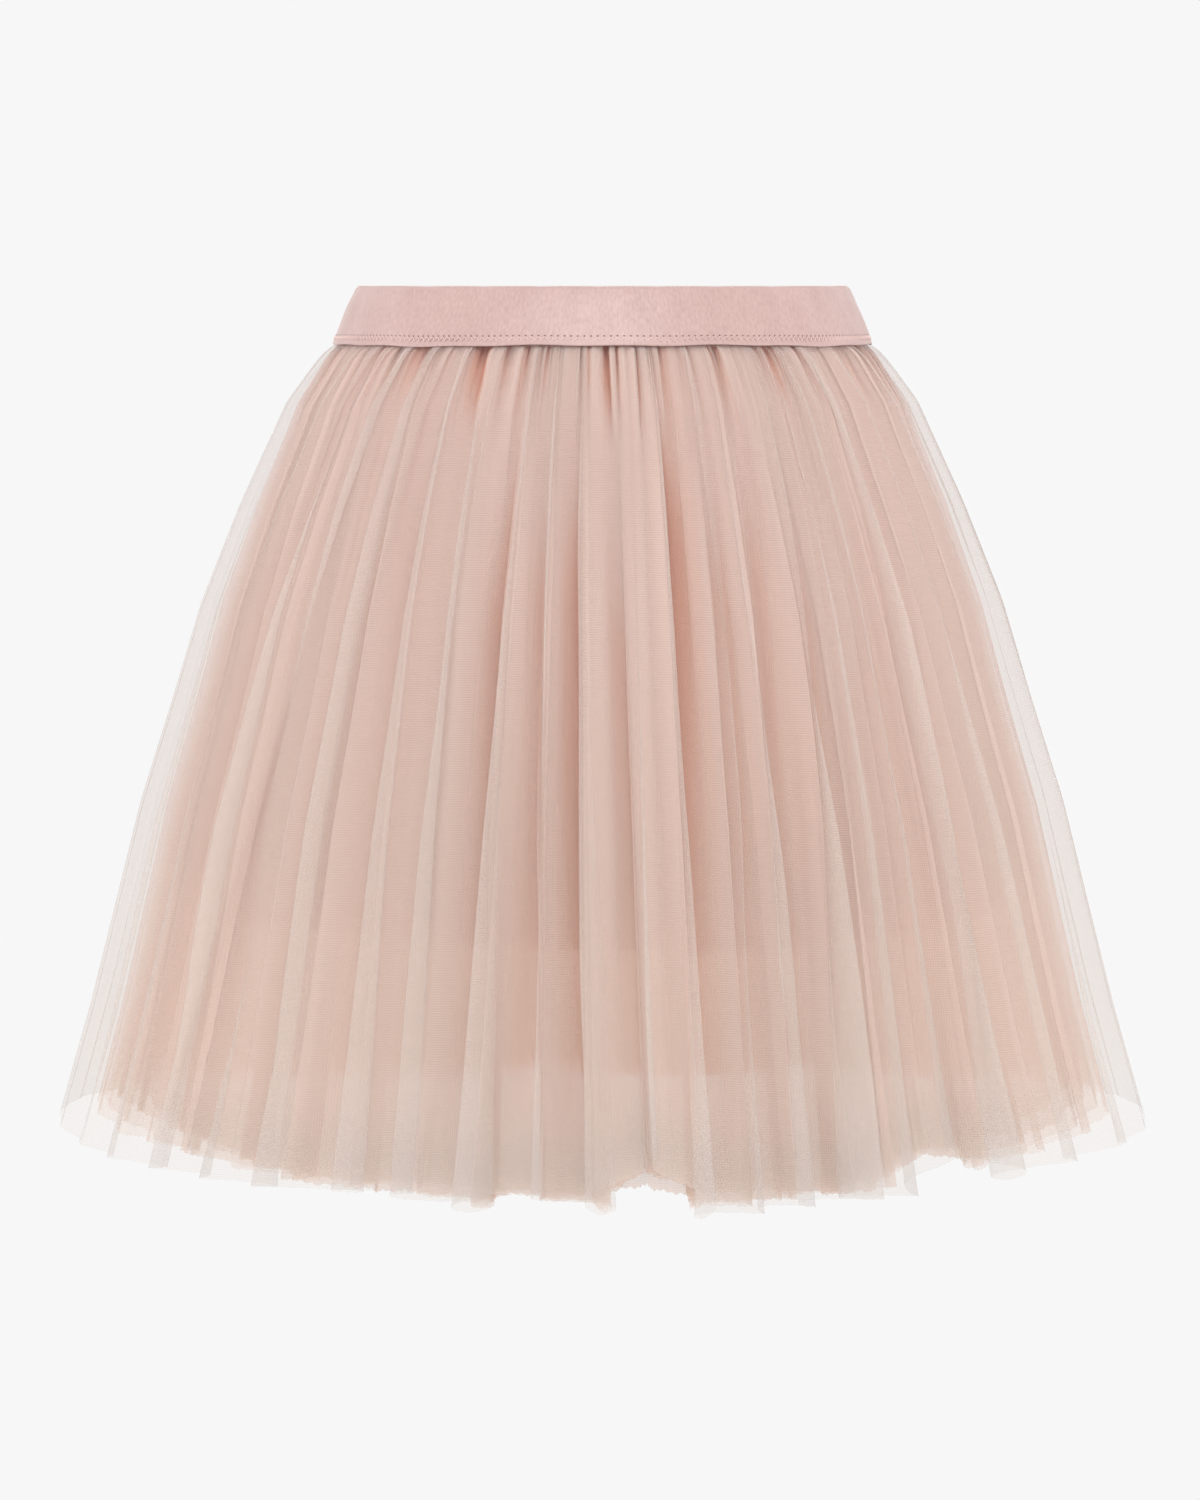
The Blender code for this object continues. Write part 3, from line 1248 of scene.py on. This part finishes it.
@dataclass
class Lining:
    """The short lining: a flared tube with a few soft folds.

    Args:
        hem_drop: From the band's top edge to its hem.
        waist_inset: How far inside the outer ply it lies where it is sewn.
        hem_inset: And at the level of the longest hem.
        columns: Points round it.
        rows: Points down it.
        cut_width: Its flat width along the hem.
        cut_area: Its flat area, as its sides are cut to curve in over the hips; not used.
    """

    hem_drop: float = 0.319
    waist_inset: float = 0.0075
    hem_inset: float = 0.0585
    columns: int = 360
    rows: int = 40
    cut_width: float = 1.25
    cut_area: float = 0.31

    def build(self) -> bpy.types.Object:
        """Builds and dresses the lining.

        Returns:
            The piece.
        """
        turn = np.arange(self.columns)[None, :] / self.columns
        line = np.arange(self.rows)[:, None] / (self.rows - 1)
        top = SEAM_DROP - 0.004
        waver = 0.003 * np.sin(TAU * (3 * turn + 0.1))
        drop = top + (self.hem_drop - top) * line + waver * line
        share = np.clip((drop - SEAM_DROP) / (HEM_DROP - SEAM_DROP), 0, 1)
        inset = self.waist_inset + (self.hem_inset - self.waist_inset) * share**0.7
        inset = inset + 0.0036 * np.exp(-np.abs(SEAM_DROP - drop) / 0.003)
        half_width = HANG.half_width(drop) - inset
        half_depth = HANG.half_depth(drop) - inset
        soft = Folds(21, 0.007, 0.2, 0.3, (0.05, 0.3), (1.5, 1.6), 0.5, 71)
        across, out, _ = soft.shift(turn, share, np.pi * (half_width + half_depth))
        angle = TAU * turn + across / half_width
        x = (half_width + out) * np.sin(angle)
        y = -(half_depth + out) * np.cos(angle)
        z = BAND_HEIGHT / 2 - drop
        points = np.stack(np.broadcast_arrays(x, y, z), axis=-1)
        cut = np.stack(np.broadcast_arrays(turn * self.cut_width, drop), axis=-1)
        piece = sheet_mesh("lining_tube", points, cut, {}, LINING.material())
        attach(piece, BODY)
        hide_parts("lining")
        return piece


# How far from the zigzag the band's back counts as, in half heights of the row.
FAR_OFF = 9.0


@dataclass
class Waistband:
    """The wide elastic: a satin face with upright ribs, a zigzag row and a rolled foot.

    Args:
        top: Half its width and half its depth at the top edge.
        foot: And at the foot.
        wall: How thick it is.
        lip: How far the foot's rolled edge stands out.
        swell: How far its middle swells out.
        waver: How far its foot strays up and down.
        columns: Points round it.
        cut_length: The strip's length before it was closed and stretched.
        cut_height: The elastic's width as sold; not used.
        stitch_rise: How far above the foot the zigzag's middle is.
        stitch_height: How high the zigzag is.
        stitch_pitch: The length of one zigzag.
        thread: The thread's radius.
        picot_pitch: The spacing of the tiny loops on the top edge.
        picot_height: How far they stand up.
    """

    top: tuple[float, float] = (0.1255, 0.0955)
    foot: tuple[float, float] = (0.1377, 0.1110)
    wall: float = 0.0018
    lip: float = 0.0001
    swell: float = 0.0007
    waver: float = 0.0004
    columns: int = 480
    cut_length: float = 0.70
    cut_height: float = 0.032
    stitch_rise: float = 0.0036
    stitch_height: float = 0.0024
    stitch_pitch: float = 0.0030
    thread: float = 0.00026
    picot_pitch: float = 0.0020
    picot_height: float = 0.0005

    def place(self, turn: Grid, down: Grid, out: Grid) -> Grid:
        """Gives points on the band.

        Args:
            turn: The share of the way round.
            down: The share of the way from the top edge to the foot.
            out: How far the points stand out from the satin face.

        Returns:
            The points.
        """
        swell = self.swell * np.sin(np.pi * np.clip(down, 0, 1))
        half_width = self.top[0] + (self.foot[0] - self.top[0]) * down + swell
        half_depth = self.top[1] + (self.foot[1] - self.top[1]) * down + swell
        angle = TAU * turn
        x, y = on_oval(half_width, half_depth, angle, out)
        waves = np.sin(3 * angle + 1.2) + 0.7 * np.sin(8 * angle + 3.8) + 0.6 * np.sin(19 * angle)
        z = BAND_HEIGHT * (0.5 - down) + self.waver * waves * np.clip(down, 0, 1) ** 6
        return np.stack(np.broadcast_arrays(x, y, z), axis=-1)

    def profile(self) -> tuple[Grid, Grid]:
        """Gives the wall's outline, from the top edge down the face and up the back.

        Returns:
            The share of the way down, and how far out, one column each.
        """
        half = self.wall / 2
        rim = half / BAND_HEIGHT
        bend = np.linspace(0, np.pi, 7)
        top = [(rim * (1 - math.sin(a)), -half + half * -math.cos(a)) for a in bend]
        face = [(down, 0.0) for down in np.linspace(rim + 0.02, 0.80, 14)]
        groove = [(down, 0.0) for down in (0.82, 0.84, 0.86, 0.875, 0.89, 0.91, 0.925)]
        lip = [(0.945, 0.0), (0.965, self.lip), (0.985, self.lip * 0.6), (0.997, -0.0002)]
        foot = [(1.0, -half), (0.99, -self.wall)]
        back = [(down, -self.wall) for down in np.linspace(0.95, rim + 0.02, 10)]
        down, out = zip(*(top + face + groove + lip + foot + back))
        return np.array(down)[:, None], np.array(out)[:, None]

    def build(self) -> bpy.types.Object:
        """Builds the band.

        Returns:
            The piece.
        """
        turn = np.arange(self.columns)[None, :] / self.columns
        down, out = self.profile()
        ripple = 0.00012 * np.sin(TAU * 5 * turn + 9 * down)
        ripple = ripple + 0.00010 * np.sin(TAU * 13 * turn)
        points = self.place(turn, down, out + ripple)
        steps = np.linalg.norm(np.diff(points[:, 0], axis=0), axis=1)
        length = np.concatenate([[0.0], np.cumsum(steps)])[:, None]
        cut = np.stack(np.broadcast_arrays(turn * self.cut_length, length), axis=-1)
        closed = np.concatenate([points, points[:1]])
        girth = float(length[-1, 0] + np.linalg.norm(points[0, 0] - points[-1, 0]))
        ends = np.broadcast_arrays(turn * self.cut_length, np.full((1, 1), girth))
        rise = (1 - np.concatenate([down, down[:1]])) * BAND_HEIGHT - self.stitch_rise
        outer = np.concatenate([out, out[:1]]) > -self.wall / 2
        needle = np.where(outer, rise / (self.stitch_height / 2), FAR_OFF)
        sheets = np.concatenate([cut, np.stack(ends, axis=-1)])
        piece = sheet_mesh("waistband_elastic", closed, sheets, {NEEDLE: needle}, SATIN.material())
        weld(piece)
        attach(piece, BODY)
        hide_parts("waistband")
        threads = [self.stitching(), self.picots()]
        return piece

    def stitching(self) -> bpy.types.Object:
        """Builds the zigzag row that holds the tulle to the band's foot.

        Returns:
            The piece.
        """
        reach = math.sqrt((self.foot[0] ** 2 + self.foot[1] ** 2) / 2)
        count = round(TAU * reach / self.stitch_pitch)
        steps = np.arange(count * 4)
        middle = 1 - self.stitch_rise / BAND_HEIGHT
        swing = np.array([0.0, 0.7, 0.0, -0.9])[steps % 4] * self.stitch_height / 2 / BAND_HEIGHT
        dip = np.array([0.9, 0.3, 0.9, 0.3])[steps % 4] * self.thread
        route = self.place(steps / len(steps), middle - swing, dip)
        piece = thread_tube("band_zigzag", route, self.thread, THREAD.material())
        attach(piece, BODY)
        return piece

    def picots(self) -> bpy.types.Object:
        """Builds the row of tiny loops along the band's top edge.

        Returns:
            The piece.
        """
        steps = np.arange(round(TAU * self.top[0] / self.picot_pitch) * 4)
        lift = np.array([-0.2, 0.6, 1.0, 0.6])[steps % 4] * self.picot_height / BAND_HEIGHT
        sway = np.array([0.0, -0.3, 0.0, 0.3])[steps % 4] / len(steps)
        route = self.place(steps / len(steps) + sway, -lift, np.full(len(steps), -self.wall / 2))
        piece = thread_tube("band_picots", route, self.thread * 0.6, THREAD.material())
        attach(piece, BODY)
        return piece


# ---------------------------------------------------------------- the studio


@dataclass
class Studio:
    """A pale floor, a pale surround, soft lamps, and the camera.

    Args:
        distance: From the camera to the skirt's axis, in metres.
        pitch: How far the camera looks down, in degrees.
        lens: The focal length on a 36 mm long side.
        aside: Where the camera stands along X.
        floor_height: Where the floor lies along Z.
        bounces: How often light bounces off cloth.
        layers: How many layers of sheer cloth a ray passes through at most.
    """

    distance: float = 2.8
    pitch: float = 4.84
    lens: float = 131.26
    aside: float = -0.0013
    floor_height: float = -1.02
    bounces: int = 2
    layers: int = 24

    def build(self) -> None:
        """Sets up everything that isn't the skirt."""
        scene = bpy.context.scene
        scene.view_settings.view_transform = "Standard"
        scene.cycles.transparent_max_bounces = self.layers
        scene.cycles.diffuse_bounces = self.bounces
        scene.cycles.glossy_bounces = 1
        self.camera()
        self.surround()
        self.lamps()
        self.floor()

    def camera(self) -> None:
        """Places the camera level with the band's top edge."""
        data = bpy.data.cameras.new("camera")
        data.lens = self.lens
        data.sensor_width = 36
        item = placed("camera", data)
        item.location = (self.aside, -self.distance, BAND_HEIGHT / 2)
        item.rotation_euler = (math.radians(90 - self.pitch), 0, 0)
        bpy.context.scene.camera = item

    def surround(self) -> None:
        """Makes the pale surround that also fills the shadows."""
        world = bpy.data.worlds.new("surround")
        bpy.context.scene.world = world
        world.use_nodes = True
        back = world.node_tree.nodes["Background"]
        back.inputs["Color"].default_value = srgb(247, 247, 247)
        back.inputs["Strength"].default_value = 1.0

    def lamps(self) -> None:
        """Hangs three wide soft lamps and a small one that lifts the satin's shine."""
        self.lamp("key", (-0.2, -2.5, 2.1), 1.8, 29)
        self.lamp("glint", (0.05, -1.7, 2.5), 0.6, 3)
        self.lamp("left", (-2.3, -0.5, 0.1), 1.6, 12)
        self.lamp("right", (2.3, -0.7, 0.1), 1.6, 13)

    def lamp(self, name: str, place: Sequence[float], size: float, power: float) -> None:
        """Adds one square lamp that faces the skirt's middle.

        Args:
            name: The lamp's name.
            place: Where it is.
            size: Its side, in metres.
            power: Its power, in watts.
        """
        data = bpy.data.lights.new(name, "AREA")
        data.size = size
        data.energy = power
        item = placed(name, data)
        item.location = place
        aim = Vector((0, 0, -0.2)) - item.location
        item.rotation_euler = aim.to_track_quat("-Z", "Y").to_euler()

    def floor(self) -> None:
        """Lays a round pale floor beneath the skirt."""
        place = (0, 0, self.floor_height)
        bpy.ops.mesh.primitive_circle_add(
            vertices=96, radius=FLOOR.rim + 0.05, fill_type="NGON", location=place
        )
        item = bpy.context.object
        item.name = "floor"
        item.data.materials.append(FLOOR.material())


SEAM_GATHERS = Folds(120, 0.0034, 1.6, 0.5, (-0.3, -0.22), (0.0, 0.05), 0.0, 91, Form.KNIFE, 1.4)


def gathers(seed: int) -> tuple[Folds, ...]:
    """Gives the outermost ply's folds: long, short, and those caught in the seam.

    Args:
        seed: What fixes their unevenness.

    Returns:
        The sets of folds.
    """
    return (
        Folds(47, 0.0030, 1.0, 0.6, (0.0, 0.6), (0.4, 2.6), 0.5, seed, Form.KNIFE, 0.12),
        Folds(79, 0.0022, 1.1, 0.8, (-0.4, 0.0), (0.08, 0.42), 0.6, seed + 1, Form.KNIFE, 0.15),
        SEAM_GATHERS,
    )


def under_gathers(seed: int) -> tuple[Folds, ...]:
    """Gives the softer folds of a ply that lies beneath others.

    Args:
        seed: What fixes their unevenness.

    Returns:
        The sets of folds.
    """
    return (
        Folds(41, 0.0030, 0.8, 0.5, (-0.1, 0.6), (0.6, 2.6), 0.4, seed, Form.KNIFE, 0.12),
        Folds(67, 0.0010, 0.8, 0.4, (-0.3, -0.1), (0.10, 0.50), 0.4, seed + 1, Form.KNIFE, 0.12),
        SEAM_GATHERS,
    )


PLIES = (
    TullePly(
        "tulle_outer_ply", "tulle_outer", "tulle_sheer", SHEER, 0.0, 0.0, 0.0, 1.0, 1.0,
        Form.KNIFE, 0.0, gathers(11), 0.001, 1.0, 2.35, 1, calm=0.18, crowding=0.5,
    ),
    TullePly(
        "tulle_middle_ply", "tulle_middle", "tulle_dense", BLUSH, 0.007, 0.0015, 0.018, 0.8, 0.8,
        Form.KNIFE, 0.06, under_gathers(21), 0.003, 0.9, 2.1, 2, calm=0.03, crowding=0.65,
    ),
    TullePly(
        "tulle_middle_under", "tulle_middle", "tulle_dense", BLUSH, 0.010, 0.0023, 0.022, 0.6, 0.7,
        Form.KNIFE, 0.93, under_gathers(31), 0.004, 0.7, 2.0, 3, calm=0.03, crowding=0.4,
    ),
    TullePly(
        "tulle_inner_ply", "tulle_inner", "tulle_dense", PEACH, 0.013, 0.0032, 0.028, 0.4, 0.7,
        Form.KNIFE, 0.12, under_gathers(41), 0.005, 0.5, 2.0, 4, calm=0.03, crowding=0.6,
    ),
    TullePly(
        "tulle_inner_under", "tulle_inner", "tulle_dense", PEACH, 0.018, 0.0040, 0.034, 0.4, 0.6,
        Form.KNIFE, 0.04, under_gathers(51), 0.006, 0.2, 1.8, 5, calm=0.03, crowding=0.3,
    ),
)


def main() -> None:
    """Builds the skirt's pieces in order, then the studio."""
    logging.basicConfig(level=logging.INFO, format="%(name)s: %(message)s")
    for maker in (Waistband(), Lining(), *PLIES):
        piece = maker.build()
        LOG.info("%s: %d faces", piece.name, len(piece.data.polygons))
    Studio().build()


if __name__ == "__main__":
    main()
